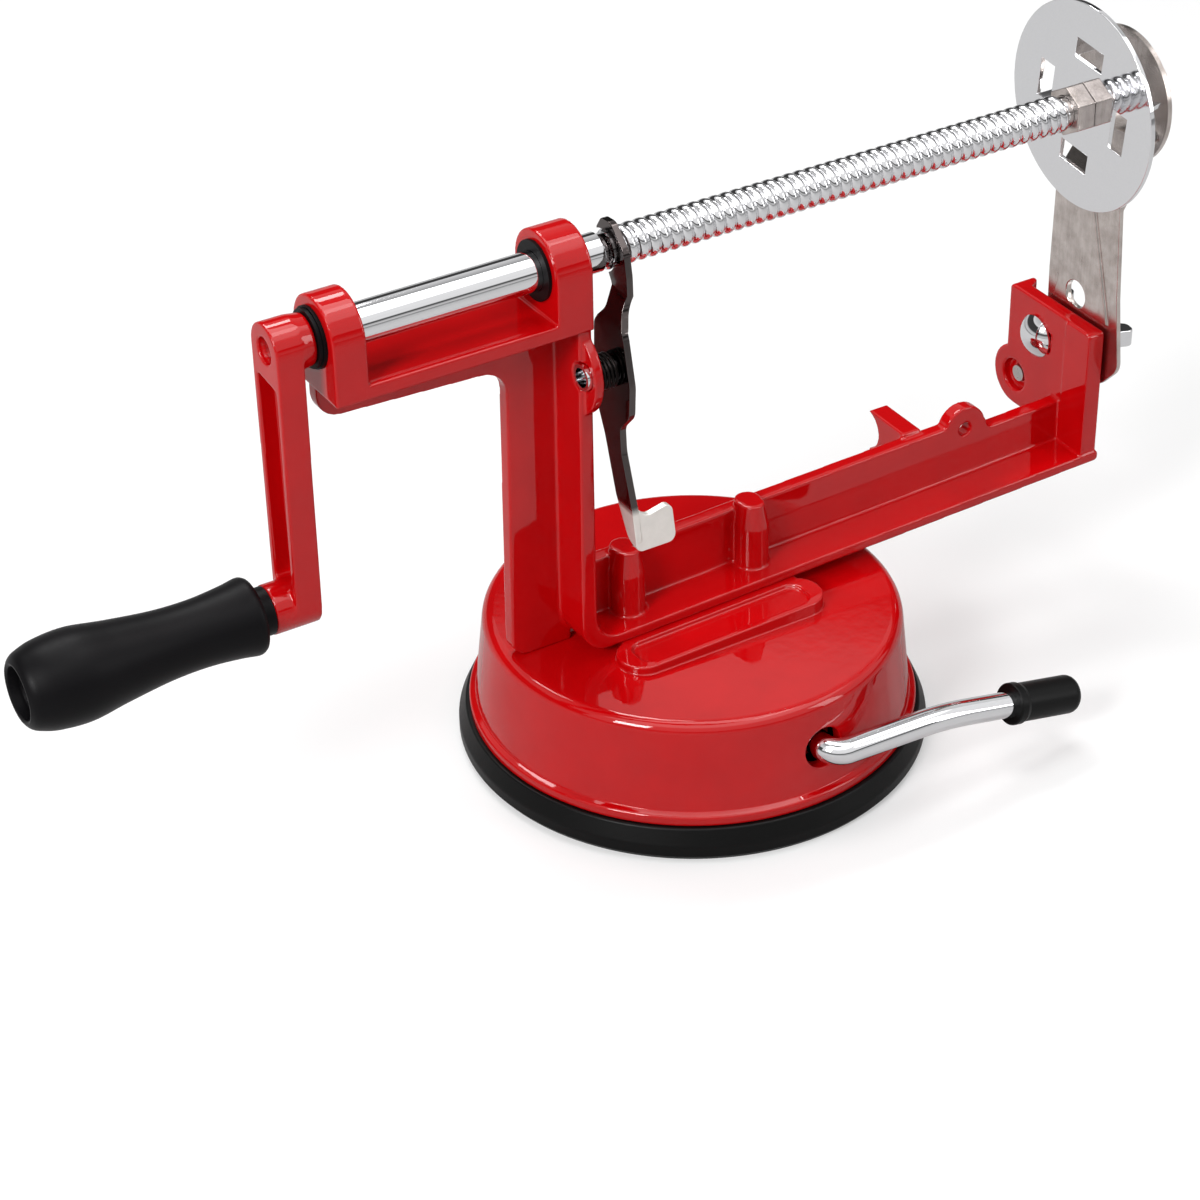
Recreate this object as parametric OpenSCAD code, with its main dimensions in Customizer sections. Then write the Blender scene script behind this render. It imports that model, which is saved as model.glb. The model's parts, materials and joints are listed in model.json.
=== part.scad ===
// Hand-cranked apple peeler frame with a suction base, a screw-fed pusher disc
// and a coring and slicing blade. Millimetres, +Z up, +X along the feed shaft
// from the crank to the blade. The origin is the centre of the base on the table.

/* [Base] */
// Radius of the rubber rim on the table
rim_r = 56.3; // [54.6:0.1:62]
// Height of the rubber rim
rim_h = 8; // [6.6:0.2:10]
// Thickness of the rubber membrane under the base
membrane_t = 2.4; // [1.6:0.2:3.2]
// Radius of the base casting's foot flange
flange_r = 53.6; // [52.8:0.1:54]
// Height of the foot flange's edge
flange_h = 2.4; // [1.6:0.2:3.6]
// Radius of the base wall just above the foot flange
wall_r = 52; // [50.8:0.1:52.4]
// How much the base wall leans in towards its top
wall_lean = 2.4; // [0.8:0.2:3.2]
// Height of the base casting's top above the table
base_h = 33.4; // [32:0.2:38]
// Wall thickness of the base casting
base_wall = 3; // [2:0.2:4]
// Radius of the base casting's top edge
base_edge_r = 3; // [1.5:0.5:4]
// Length of the raised pad on the base
pad_len = 55; // [48:1:60]
// Depth of the pad in front of the shaft's plane
pad_front = 20; // [14:0.5:24]
// Height of the pad at its left end
pad_h = 1.8; // [1:0.2:2.6]
// Depth of the shallow pocket in the pad's top
pad_pocket = 0.9; // [0.4:0.1:1.2]
// Radius of the pad's rounded ends
pad_round = 6; // [4:0.5:6]

/* [Frame] */
// Height of the feed shaft's axis above the table
shaft_z = 133.6; // [128:0.2:142]
// Front face of the casting's web, behind the shaft's plane
web_y = 2.5; // [1:0.1:3.4]
// Thickness of the web
web_t = 3.7; // [2.8:0.1:4.4]
// Half width of the flanges across the shaft
flange_half = 8; // [7.6:0.1:9]
// Right face of the column
col_right = -30.8; // [-32:0.2:-30.4]
// Width of the column at its waist
col_w = 15.6; // [13:0.2:18]
// Thickness of the column's flange
col_flange_t = 3.2; // [2.4:0.1:4]
// Left end of the upper arm
arm_left = -93.2; // [-97:0.2:-89]
// Height of the arm's floor below the shaft's axis
floor_drop = 9.8; // [9:0.1:10.6]
// Thickness of the arm's floor
floor_t = 3.4; // [2.6:0.1:4.4]
// Depth of the web below the arm's floor
arm_web_h = 9.3; // [6:0.1:11]
// Rise of the beam towards the blade, degrees
beam_tilt = 1.5; // [0.6:0.1:2]
// Thickness of the beam's flange
beam_flange_t = 2.6; // [2:0.1:3.4]
// Height of the beam from its underside to the web's top
beam_h = 17.2; // [15.6:0.1:19]
// Height of the beam beyond the spring lug
beam_low_h = 13.4; // [11:0.1:14.4]
// Radius of the posts on the beam
post_r = 4; // [3.2:0.1:4.4]
// Height of the posts above the beam's underside
post_h = 19.2; // [18:0.1:21]
// Places of the two posts along the beam
post_x = [-17.6, 16.9];
// Place of the spring lug along the beam
lug_x = 80.9; // [76:0.2:84]
// Radius of the hole in the spring lug
lug_hole_r = 1.8; // [1.5:0.1:2.4]
// Left side of the rear bracket
bracket_x = 64.1; // [56:0.2:68]
// Thickness of the rear bracket
bracket_t = 5.2; // [4:0.1:6]
// Reach of the rear bracket behind the shaft's plane
bracket_reach = 19.6; // [17:0.2:23]

/* [End plate] */
// Left face of the end plate
end_x = 109.5; // [107:0.1:112]
// Thickness of the end plate
end_t = 4.7; // [4.4:0.1:6]
// Height of the end plate's top above the table
end_top = 75.2; // [73.5:0.1:80]
// Reach of the end plate behind the shaft's plane
end_reach = 24.7; // [24.2:0.1:27]
// Radius of the lobe at the end plate's foot
lobe_r = 8; // [7:0.1:9]
// Radius of the pivot hole in the lobe
lobe_hole_r = 2.1; // [1.6:0.1:2.8]
// Length of the clamp slot beyond the bolt
clamp_travel = 2.5; // [1.5:0.1:2.6]

/* [Bearings] */
// Outer radius of the two bearing bosses
boss_r = 9.2; // [8.8:0.1:9.6]
// Width of the left bearing
left_bearing_w = 7.9; // [6.4:0.1:9]
// Width of the right bearing
right_bearing_w = 8.9; // [7:0.1:10]
// Outer radius of the bushes
bush_r = 6.2; // [5.8:0.1:6.6]
// Radius of the bushes' flanges
bush_flange_r = 6.9; // [6.7:0.1:7.4]
// Thickness of the bushes' flanges and of the thrust washer
bush_flange_t = 0.8; // [0.6:0.05:0.95]

/* [Feed shaft] */
// Radius of the feed shaft's polished part
shaft_r = 4.5; // [4.2:0.05:4.6]
// Root radius of the feed thread
root_r = 3.75; // [3.5:0.05:3.85]
// Pitch of the feed thread
pitch = 2.8; // [2.6:0.1:3.2]
// Radius of the shaft's two reduced ends
spigot_r = 3; // [2.6:0.1:3.2]
// Radial running clearance between the thread's crest and the bushes
run_gap = 0.05; // [0.02:0.01:0.08]
// Left face of the pusher disc
disc_x = 107.8; // [104:0.2:108.4]

/* [Pusher disc] */
// Radius of the pusher disc
disc_r = 25.4; // [23:0.2:27]
// Thickness of the disc and its prongs
disc_t = 1.2; // [0.8:0.1:1.4]
// Length of each slot in the disc
slot_len = 10; // [8:0.5:11]
// Width of each slot and prong
slot_w = 5; // [4:0.2:5.6]
// Inner radius of the slots
slot_r = 11; // [10:0.2:12]
// Reach of the prongs beyond the disc
prong_len = 9.6; // [7:0.2:10]
// Width across the flats of the disc's nut
nut_flats = 10.6; // [9.8:0.2:13]
// Thickness of the disc's nut
nut_t = 5; // [4:0.2:6.5]

/* [Crank] */
// Distance from the shaft's axis to the handle's axis
crank_len = 62.6; // [56:0.2:68]
// Radius of the crank arm's ends
crank_r = 6.2; // [5.6:0.1:7]
// Thickness of the crank arm
crank_t = 6.2; // [5:0.1:7.4]
// Length of the crank's hub
hub_len = 9.6; // [8.6:0.1:11]
// Depth of the channel in the crank arm
channel_d = 4; // [2:0.2:4.4]
// Wall beside the channel
channel_wall = 1.8; // [1.4:0.1:2.6]
// Length of the handle's boss beyond the arm
crank_boss = 4.5; // [3:0.1:6]

/* [Handle] */
// Length of the handle grip
grip_len = 54.4; // [48:0.2:64]
// Largest radius of the grip
grip_r = 10.4; // [9.6:0.1:12]
// Radius of the grip's waist
grip_waist_r = 7.6; // [7:0.1:8.6]
// Radius of the open recess in the grip's end
grip_recess_r = 6; // [5.4:0.1:6.6]
// Thickness of the collar between the crank and the grip
collar_t = 3.2; // [2:0.1:4]
// Radius of the handle's spindle
spindle_r = 3; // [2.4:0.1:3.2]

/* [Release lever] */
// Place of the lever's pivot across the shaft
pivot_y = -8.5; // [-8.8:0.1:-8]
// Height of the lever's pivot below the shaft's axis
pivot_drop = 24.3; // [23.6:0.1:25]
// Thickness of the lever's sheet
lever_t = 1.6; // [1.2:0.1:1.8]
// Left face of the lever at its pivot
lever_x = -26.5; // [-27:0.1:-26.2]
// How far the lever's jaw stands out from its pivot
lever_jog = 3.5; // [3:0.1:4]
// Radius of the rounded ear that carries the pivot
ear_r = 10.9; // [10.4:0.1:12]
// Reach of the ear in front of the column's flange
ear_reach = 5; // [4.4:0.1:5.4]
// Length of the lever below its pivot
lever_len = 43; // [40:0.2:46]
// Radius of the hollow pivot pin
pin_r = 3.1; // [2.7:0.1:3.4]
// Length of the thumb tab
tab_len = 10.4; // [7:0.2:12]

/* [Blade] */
// Width of the blade's holder at its clamp
holder_w = 28.4; // [27.6:0.2:30]
// Thickness of the blade's sheet
blade_t = 1.2; // [0.8:0.1:1.6]
// Radius of the round slicing blade
blade_r = 16.6; // [15.4:0.1:18]
// Radius of the corer's opening
corer_r = 9; // [8:0.1:9.6]
// Length of the corer
corer_len = 7; // [4:0.5:10]
// Left face of the round slicing blade
slicer_x = 120; // [119.6:0.1:121]
// Radius of the clamp bolt
bolt_r = 2.6; // [2.2:0.1:2.8]
// Radius of the clamp bolt's domed head
bolt_head_r = 5.5; // [4.8:0.1:6]
// Span of the wing nut
wing_span = 28; // [22:0.5:31]

/* [Suction lever] */
// Radius of the lever's rod
rod_r = 3.15; // [2.8:0.05:3.3]
// Height of the lever's shaft above the table
cam_z = 21.1; // [20.6:0.1:21.6]
// Throw of the cam
cam_throw = 1.5; // [1:0.1:1.6]
// Radius of the cam
cam_r = 5.4; // [5.3:0.1:5.5]
// Length of the lever's first straight
rod_len = 30.8; // [26:0.2:38]
// Length of the rubber grip on the lever
rod_grip_len = 19.4; // [16:0.2:24]

/* [Hidden] */
$fn = 64;

// General values
slack = 0.05;            // radial clearance of a pin that turns in its hole
fit = 0.02;              // radial clearance of pieces that are pressed together
touch = 0.05;            // gap between flat faces that slide on each other
arc_n = 6;               // straight pieces in a rounded corner
red = "#c8102e";
steel = "#c9ccd0";
black = "#1b1b1d";

// Frame
floor_z = shaft_z - floor_drop;
foot_z = base_h + pad_h;
col_left = col_right - col_w;
web_back = web_y + web_t;
bush_bore = shaft_r + run_gap + 0.05;
crest_r = shaft_r + 0.05;
left_bearing = [arm_left, arm_left + left_bearing_w];
right_bearing = [col_right - right_bearing_w, col_right];
post_y = 0.1;
screw_r = 2;
end_right = end_x + end_t;
end_step = 0.7;
plate_front = 0.5 - flange_half;
end_lip = 0.5;
seat_h = 0.6;            // round seat of the blade's holder on the end plate
seat_r = 8.5;
lobe = [end_reach - 3.4, end_top - 24.6];
clamp = [13.4, end_top - 9.6];
block_y = clamp[0] - clamp_travel - bolt_head_r - 3.5;
slot_half = bolt_r + 0.15;
bracket_drop = 5.6;

// Crank and handle
hub_right = arm_left - 2 * bush_flange_t - 2 * touch;
hub_left = hub_right - hub_len;
handle_z = shaft_z - crank_len;
low_r = crank_r - 0.5;
crank_pin_r = 1.3;
boss_left = hub_left - crank_boss;
collar_left = boss_left - collar_t - touch;
grip_right = collar_left - touch;
grip_left = grip_right - grip_len;
grip_recess_d = 5;

// Shaft
nut_left = disc_x - nut_t;
thread_end = nut_left - 0.4;
thread_start = lever_x + lever_jog - 1.4;

// Lever
pivot_z = shaft_z - pivot_drop;
ear_t = 2.2;
lever_k = lever_len / 43;
lever_zero = [pivot_y + 0.5, pivot_z + 0.5];
jaw_x = lever_x + lever_jog;
jaw_gap = 0.35;
tooth_t = 0.4;
tooth_angle = 115;

// Blade
blade_x = end_right + seat_h + touch;
holder_k = holder_w / 28.4;
wing_k = wing_span / 28;
washer_x = blade_x + blade_t + touch;
washer_t = 1;
wing_x = washer_x + washer_t + touch;

// Base inside
cam_gap = 0.4;
plate_t = 2;
plate_r = 15;
cam_low = cam_z - cam_throw;
yoke_half_y = 3;
yoke_half_x = cam_r + cam_throw + cam_gap + 1.8;
yoke_top = cam_low + cam_r + cam_gap + 1.6;
cam_x = 3.1;
rod_y = -(wall_r + 2.3);
rod_hole_r = rod_r + 1.8;
bend_r = 4.3;
rod_drop = 2;
rod_bend = 10;
rod_end = 20;

function unit(v) = v / norm(v);
function xy(p) = [p[0], p[1]];

// Points of one corner of an outline, rounded to radius r, or less where its sides are short
function corner(a, b, c, r) =
    r <= 0 ? [b] :
    let (
        u = unit(a - b), v = unit(c - b),
        half = acos(u * v) / 2,
        cut = min(r / tan(half), 0.48 * norm(a - b), 0.48 * norm(c - b)),
        s = cut * tan(half),
        m = b + unit(u + v) * s / sin(half),
        p = b + u * cut - m,
        q = b + v * cut - m,
        from = atan2(p[1], p[0]),
        turn = ((atan2(q[1], q[0]) - from + 540) % 360) - 180
    )
    [for (i = [0:arc_n]) m + s * [cos(from + turn * i / arc_n), sin(from + turn * i / arc_n)]];

// Outline through [x, y, corner radius] points
function rounded(pts) =
    let (n = len(pts))
    [for (i = [0:n - 1])
        each corner(xy(pts[(i + n - 1) % n]), xy(pts[i]), xy(pts[(i + 1) % n]), pts[i][2])];

// Smooth curve through points, with k steps between neighbours
function smooth(p, k) =
    let (n = len(p))
    [for (i = [0:n - 2], j = [0:k - 1])
        let (
            a = p[max(i - 1, 0)], b = p[i], c = p[i + 1], d = p[min(i + 2, n - 1)],
            t = j / k
        )
        0.5 * (2 * b + (c - a) * t + (2 * a - 5 * b + 4 * c - d) * t * t
            + (3 * b - a - 3 * c + d) * t * t * t),
     p[n - 1]];

// Height on the tilted beam, h above its underside
function beam_z(x, h) = foot_z + h + (x - col_right) * tan(beam_tilt);

// Plate drawn in x and z, from y0 to y1
module xz_plate(y0, y1) {
    translate([0, y1, 0]) rotate([90, 0, 0]) linear_extrude(y1 - y0) children();
}

// Plate drawn in y and z, from x0 to x1
module yz_plate(x0, x1) {
    translate([x0, 0, 0]) rotate([90, 0, 90]) linear_extrude(x1 - x0) children();
}

// Round bar along x, y or z
module x_bar(x0, x1, r, y = 0, z = 0, r2 = -1) {
    translate([x0, y, z]) rotate([0, 90, 0]) cylinder(h = x1 - x0, r1 = r, r2 = r2 < 0 ? r : r2);
}
module y_bar(y0, y1, r, x = 0, z = 0) {
    translate([x, y0, z]) rotate([-90, 0, 0]) cylinder(h = y1 - y0, r = r);
}

// Closed tube swept along a helix about the x axis: profile points are [dx, radius]
module helix_x(x0, x1, lead, profile, from, seg) {
    n = ceil((x1 - x0) / lead * seg);
    m = len(profile);
    step = (x1 - x0) / n;
    points = [for (i = [0:n], p = profile)
        let (x = x0 + i * step, a = from + 360 * i * step / lead)
        [x + p[0], p[1] * cos(a), p[1] * sin(a)]];
    sides = [for (i = [0:n - 1], j = [0:m - 1])
        let (k = (j + 1) % m)
        [i * m + j, i * m + k, (i + 1) * m + k, (i + 1) * m + j]];
    first = [for (j = [m - 1:-1:0]) j];
    last = [for (j = [0:m - 1]) n * m + j];
    polyhedron(points, concat(sides, [first], [last]), convexity = 10);
}

// ---- Suction base ----

module base_profile() {
    top_r = wall_r - wall_lean;
    outer = [
        [flange_r, rim_h, 0], [flange_r, rim_h + flange_h, 0.8],
        [wall_r, rim_h + flange_h + 0.6, 0.5], [top_r, base_h, base_edge_r], [0, base_h, 0],
        [0, base_h - base_wall, 0], [top_r - base_wall, base_h - base_wall, 1.5],
        [wall_r - base_wall, rim_h, 0]
    ];
    polygon(rounded(outer));
}

// Raised bar in front of the frame's foot and the foot's own seat, both up to the tilted beam
module pad() {
    left = col_right + 2.4;
    right = left + pad_len;
    front = -pad_front;
    rear = -flange_half + 0.4;
    intersection() {
        translate([0, 0, base_h - 0.5]) linear_extrude(6) union() {
            polygon(rounded([[left, front, pad_round], [right, front, pad_round],
                             [right, rear, pad_round], [left, rear, pad_round]]));
            polygon(rounded([[left + 4.4, rear - 3, 0], [right - 2.6, rear - 3, 0],
                             [right - 2.6, flange_half + 2, 3], [left + 4.4, flange_half + 2, 3]]));
        }
        difference() {
            xz_plate(front - 1, flange_half + 3)
                polygon([[left - 1, base_h - 1], [right + 1, base_h - 1],
                         [right + 1, beam_z(right + 1, 0)], [left - 1, beam_z(left - 1, 0)]]);
            // shallow pocket in the bar's top
            translate([left, 0, beam_z(left, -pad_pocket)]) rotate([0, -beam_tilt, 0])
                linear_extrude(4) polygon(rounded([
                    [4.4, front + 1.8, 3], [pad_len - 4.2, front + 1.8, 3],
                    [pad_len - 4.2, rear - 2.2, 3], [4.4, rear - 2.2, 3]
                ]));
        }
    }
}

// Hanging block that carries the suction lever's shaft inside the base
module shaft_block(y0, y1) {
    translate([cam_x - 6, y0, cam_z - rod_r - 3])
        cube([12, y1 - y0, base_h - base_wall / 2 - (cam_z - rod_r - 3)]);
}

module base_casting() {
    color(red) difference() {
        union() {
            rotate_extrude($fn = 128) base_profile();
            pad();
            shaft_block(-44, -36);
            shaft_block(14, 20);
        }
        y_bar(-50, 30, rod_r + slack, cam_x, cam_z);
        y_bar(-wall_r - 2, 7 - wall_r, rod_hole_r, cam_x, cam_z);
        for (x = post_x)
            translate([x, post_y, base_h - base_wall - 1]) cylinder(h = 12, r = screw_r + 0.3);
    }
}

module suction_cup() {
    lip = rim_r - 1.1;
    color(black) rotate_extrude($fn = 128)
        polygon(rounded([
            [0, 0, 0], [lip, 0, 0], [rim_r, 1.4, 0.6], [rim_r, rim_h * 0.5, 2.2],
            [flange_r + 0.9, rim_h, 0.6], [wall_r - base_wall - 1, rim_h, 1],
            [wall_r - base_wall - 2.5, membrane_t, 1.5], [0, membrane_t, 0]
        ]));
}

module cup_plunger() {
    color(steel) difference() {
        union() {
            translate([cam_x, 0, membrane_t + touch]) cylinder(h = plate_t, r = plate_r);
            translate([cam_x - yoke_half_x, -yoke_half_y, membrane_t + touch])
                cube([2 * yoke_half_x, 2 * yoke_half_y, yoke_top - membrane_t - touch]);
        }
        translate([cam_x - cam_r - cam_throw - cam_gap, -yoke_half_y - 1, cam_low - cam_r - cam_gap])
            cube([2 * (cam_r + cam_throw + cam_gap), 2 * yoke_half_y + 2, 2 * (cam_r + cam_gap)]);
    }
}

module lever_cam() {
    color(steel) difference() {
        y_bar(-yoke_half_y + 0.1, yoke_half_y - 0.1, cam_r, cam_x, cam_low);
        y_bar(-yoke_half_y - 1, yoke_half_y + 1, rod_r + fit, cam_x, cam_z);
    }
}

// Places the outer part of the suction lever, drawn along x from its shaft
module on_lever() {
    translate([cam_x, 0, cam_z]) rotate([0, rod_drop, 0]) children();
}
module on_lever_end() {
    on_lever() translate([rod_len, rod_y, 0]) rotate([0, rod_bend, 0]) children();
}

module suction_lever() {
    color(steel) {
        difference() {
            y_bar(rod_y + bend_r, 22.4, rod_r, cam_x, cam_z);
            difference() {
                y_bar(20.4, 21.4, rod_r + 1, cam_x, cam_z);
                y_bar(20, 22, rod_r - 0.5, cam_x, cam_z);
            }
        }
        on_lever() {
            translate([bend_r, rod_y + bend_r, 0]) rotate([0, 0, 180])
                rotate_extrude(angle = 90) translate([bend_r, 0]) circle(r = rod_r);
            translate([bend_r, rod_y, 0]) rotate([0, 90, 0]) cylinder(h = rod_len - bend_r, r = rod_r);
            translate([rod_len, rod_y, 0]) sphere(r = rod_r + 0.04);
        }
        on_lever_end() rotate([0, 90, 0]) cylinder(h = rod_end + rod_grip_len - 3, r = rod_r);
    }
}

module lever_grip() {
    grip_out = rod_r + 1.5;
    start = rod_end;
    color(black) on_lever_end() rotate([0, 90, 0]) rotate_extrude()
        polygon(rounded([
            [rod_r + fit, start, 0], [grip_out + 0.4, start, 0.4],
            [grip_out + 0.4, start + 2, 0.4], [grip_out, start + 3, 0],
            [grip_out, start + rod_grip_len, 3.6], [0, start + rod_grip_len, 0],
            [0, start + rod_grip_len - 3 + touch, 0],
            [rod_r + fit, start + rod_grip_len - 3 + touch, 0]
        ]));
}

module retaining_clip() {
    color(steel) difference() {
        y_bar(20.5, 21.3, rod_r + 2, cam_x, cam_z);
        y_bar(20, 22, rod_r - 0.45, cam_x, cam_z);
        translate([cam_x - 1.6, 20, cam_z - rod_r - 3]) cube([3.2, 2, rod_r + 3]);
    }
}

// ---- Frame ----

module column_and_arm_web() {
    xz_plate(web_y, web_back) polygon(rounded([
        [arm_left + 1, floor_z - 1, 0], [arm_left + 1, floor_z - floor_t - arm_web_h + 0.7, 6],
        [col_left, floor_z - floor_t - arm_web_h - 1.3, 6.2], [col_left - 1, base_h, 4.5],
        [col_right - 1, base_h, 0], [col_right - 1, floor_z - 1, 0]
    ]));
}

module flanges() {
    xz_plate(-flange_half, flange_half) polygon(rounded([
        [col_right - col_flange_t, floor_z - 1, 0],
        [col_right - col_flange_t - 0.6, foot_z, 7],
        [end_right + end_lip, beam_z(end_right, 0), 0.8],
        [end_right + end_lip, beam_z(end_right, beam_flange_t), 0.8],
        [col_right, beam_z(col_right, beam_flange_t), 6.5],
        [col_right, floor_z - 1, 0]
    ]));
}

module beam_web() {
    step_x = lug_x + 6;
    xz_plate(web_y, web_back) difference() {
        union() {
            polygon(rounded([
                [col_right - 1, beam_z(col_right, 1), 0], [col_right - 1, beam_z(col_right, beam_h), 0],
                [step_x, beam_z(step_x, beam_h), 2], [step_x + 1, beam_z(step_x, beam_low_h), 2],
                [end_x + 1, beam_z(end_x, beam_low_h), 0], [end_x + 1, beam_z(end_x, 1), 0]
            ]));
            translate([lug_x, beam_z(lug_x, beam_h - 1.9)]) circle(r = 6);
        }
        translate([lug_x, beam_z(lug_x, beam_h - 1.9)]) circle(r = lug_hole_r);
    }
}

module post(x) {
    tip = 6;
    translate([x, post_y, beam_z(x, 1)]) cylinder(h = post_h - tip - 1, r = post_r);
    translate([x, post_y, beam_z(x, post_h - tip)]) cylinder(h = tip, r1 = post_r, r2 = post_r * 0.7);
    translate([x, post_y + 2, beam_z(x, 1)]) cylinder(h = post_h - 1, r = post_r - 0.8);
}

// Bracket behind the beam, with a round notch in its rear edge
module rear_bracket() {
    top = beam_z(bracket_x, beam_h + 1);
    low = beam_z(bracket_x, 3);
    yz_plate(bracket_x, bracket_x + bracket_t) difference() {
        polygon(rounded([
            [web_back - 1, low, 0], [web_back - 1, top, 0], [bracket_reach, top, 0.6],
            [bracket_reach, low + 5, 2], [bracket_reach - 4, low, 2]
        ]));
        translate([bracket_reach + 1.2, top - bracket_drop]) circle(r = 5.3);
    }
}

module end_plate() {
    back = end_reach;
    difference() {
        union() {
            yz_plate(end_x + end_step, end_right) {
                polygon(rounded([
                    [plate_front, beam_z(end_x, 1), 0], [plate_front, end_top, 1],
                    [back, end_top, 1], [back, lobe[1], 0], [lobe[0], lobe[1] - lobe_r, 0],
                    [flange_half, lobe[1] - lobe_r, 0], [flange_half, beam_z(end_x, 1), 0]
                ]));
                translate(lobe) circle(r = lobe_r);
            }
            // front face, standing out to the left of the rest
            yz_plate(end_x, end_right - 1) polygon(rounded([
                [plate_front, beam_z(end_x, 1), 0], [plate_front, end_top, 1],
                [block_y, end_top - 0.2, 1], [block_y, beam_z(end_x, 1), 0]
            ]));
            x_bar(end_right - 1, end_right + seat_h, seat_r, clamp[0], clamp[1]);
            // thicker rear edge beside the blade, with a rounded shoulder
            intersection() {
                translate([0, 0, lobe[1] + 2]) linear_extrude(end_top - lobe[1] - 2)
                    polygon(rounded([
                        [end_right - 1, back - 4.2, 0], [end_right, back - 3.7, 1.5],
                        [end_right + 3, back - 2, 1.5], [end_right + 3, back, 0.6],
                        [end_right - 1, back, 0]
                    ]));
                yz_plate(end_right - 1, end_right + 3) polygon(rounded([
                    [clamp[0], lobe[1], 0], [clamp[0], end_top, 0], [back, end_top, 1],
                    [back, lobe[1], 0]
                ]));
            }
        }
        // clamp slot for the square neck of the bolt
        translate([end_x - 1, clamp[0] - clamp_travel - slot_half, clamp[1] - slot_half])
            cube([end_t + 2, clamp_travel + 2 * slot_half, 2 * slot_half]);
        // pivot hole, with a wide recess on its left
        x_bar(end_x - 1, end_x + 3, 4.2, lobe[0], lobe[1]);
        x_bar(end_x - 1, end_right + 4, lobe_hole_r, lobe[0], lobe[1]);
    }
}

module bearing_block(span) {
    yz_plate(span[0], span[1]) {
        translate([0, shaft_z]) circle(r = boss_r);
        translate([-boss_r, floor_z - floor_t]) square([2 * boss_r, floor_drop + floor_t]);
    }
}

module frame_casting() {
    color(red) difference() {
        union() {
            column_and_arm_web();
            flanges();
            beam_web();
            for (x = post_x) post(x);
            rear_bracket();
            end_plate();
            bearing_block(left_bearing);
            bearing_block(right_bearing);
            // arm's floor
            translate([arm_left, -boss_r, floor_z - floor_t])
                cube([col_right - arm_left, 2 * boss_r, floor_t]);
            // ear of the release lever's pivot
            x_bar(col_right - ear_t, col_right, ear_r, ear_r - flange_half - ear_reach, pivot_z - 0.9);
        }
        x_bar(arm_left - 1, arm_left + left_bearing_w + 1, bush_r + fit, 0, shaft_z);
        x_bar(right_bearing[0] - 1, right_bearing[1] + 1, bush_r + fit, 0, shaft_z);
        x_bar(col_right - col_flange_t - 1, col_right + 1, pin_r + fit, pivot_y, pivot_z);
        x_bar(col_right - col_flange_t - 1, col_right - col_flange_t + 0.6, pin_r + 0.6, pivot_y, pivot_z);
        for (x = post_x)
            translate([x, post_y, foot_z - 2]) cylinder(h = 13, r = screw_r + fit);
    }
}

module frame_screws() {
    head = base_h - base_wall;
    color(steel) for (x = post_x) translate([x, post_y, 0]) difference() {
        union() {
            translate([0, 0, head]) cylinder(h = 5.5 * screw_r, r = screw_r);
            translate([0, 0, head - 1.2 * screw_r]) cylinder(h = 1.2 * screw_r - touch, r = 1.85 * screw_r);
        }
        translate([-3, -0.5, head - 3]) cube([6, 1, 1.6]);
        translate([-0.5, -3, head - 3]) cube([1, 6, 1.6]);
    }
}

// ---- Bearings and feed shaft ----

// Flanged bush in a bearing; side is -1 for a flange on the left
module bush(span, side) {
    face = side < 0 ? span[0] : span[1];
    flange = side < 0 ? [face - bush_flange_t, face - touch / 5] : [face + touch / 5, face + bush_flange_t];
    color(black) difference() {
        union() {
            x_bar(side < 0 ? flange[0] : span[0], side < 0 ? span[1] : flange[1], bush_r, 0, shaft_z);
            x_bar(flange[0], flange[1], bush_flange_r, 0, shaft_z);
        }
        x_bar(span[0] - 3, span[1] + 3, bush_bore, 0, shaft_z);
    }
}
module left_bush() { bush(left_bearing, -1); }
module right_bush() { bush(right_bearing, -1); }

module thrust_washer() {
    right = arm_left - bush_flange_t - touch;
    color(black) difference() {
        x_bar(right - bush_flange_t, right, bush_flange_r - 0.4, 0, shaft_z);
        x_bar(right - 3, right + 3, bush_bore, 0, shaft_z);
    }
}

module feed_shaft() {
    peen = disc_x + disc_t;
    color(steel) difference() {
        union() {
            x_bar(hub_right, thread_start, shaft_r, 0, shaft_z);
            x_bar(thread_start, disc_x, root_r, 0, shaft_z);
            x_bar(hub_left + 1.6, hub_right, spigot_r, 0, shaft_z);
            x_bar(disc_x, peen, spigot_r, 0, shaft_z);
            x_bar(peen, peen + 1.4, 4.4, 0, shaft_z, 3);
        }
        y_bar(-1.5, 10, crank_pin_r, (hub_left + hub_right) / 2, shaft_z);
    }
}

module feed_thread() {
    rise = crest_r - root_r;
    profile = [[-1.05, root_r - 0.05], [-0.62, root_r + rise * 0.65], [0, crest_r],
               [0.62, root_r + rise * 0.65], [1.05, root_r - 0.05]];
    // the groove, half a turn from the ridge, meets the lever's tooth
    phase = tooth_angle - 360 * (jaw_x + lever_t / 2 - thread_start - 1.1 - pitch / 2) / pitch;
    color(steel) translate([0, 0, shaft_z])
        helix_x(thread_start + 1.1, thread_end - 1.1, pitch, profile, phase, 18);
}

module disc_nut() {
    color(steel) difference() {
        translate([nut_left, 0, shaft_z]) rotate([0, 90, 0])
            cylinder(h = nut_t - fit, r = nut_flats / sqrt(3), $fn = 6);
        x_bar(nut_left - 1, disc_x + 1, root_r + fit, 0, shaft_z);
    }
}

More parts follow.
